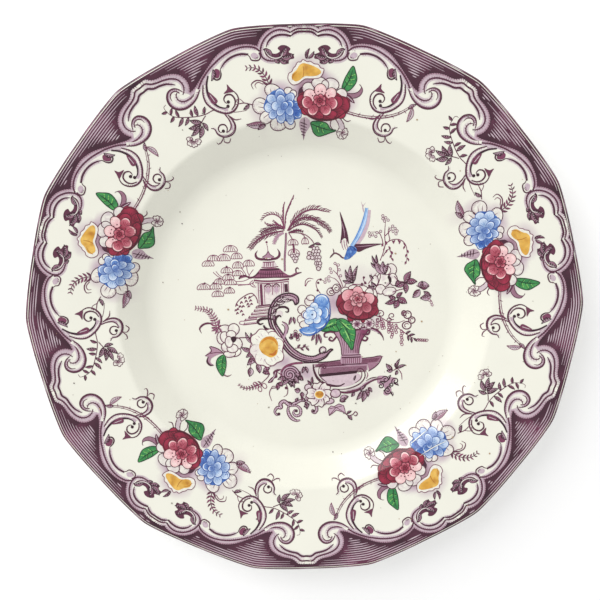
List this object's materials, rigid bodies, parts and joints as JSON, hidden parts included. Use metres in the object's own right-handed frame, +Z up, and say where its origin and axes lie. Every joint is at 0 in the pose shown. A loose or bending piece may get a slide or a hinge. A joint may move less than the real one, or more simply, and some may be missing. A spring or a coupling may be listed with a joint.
{
  "type": "dinner plate",
  "caption": "dinner plate with a flat well, a broad rim with soft corners all round, and a printed flower-and-scroll border coloured over",
  "frame": {"origin": "on the surface the plate stands on, at the centre of the foot ring", "axes": "+Z up along the plate's axis and out of the well; +X through a corner of the rim; +Y through the middle of a side, towards the top of the picture in the well"},
  "size_m": [0.266, 0.2622, 0.0227],
  "materials": {
    "glazed_earthenware": "polished",
    "purple_print": "polished",
    "crimson_enamel": "gloss",
    "blue_enamel": "gloss",
    "green_enamel": "gloss",
    "ochre_enamel": "gloss"
  },
  "bodies": {
    "root": {"plate_body": "glazed_earthenware"}
  },
  "joints": []
}
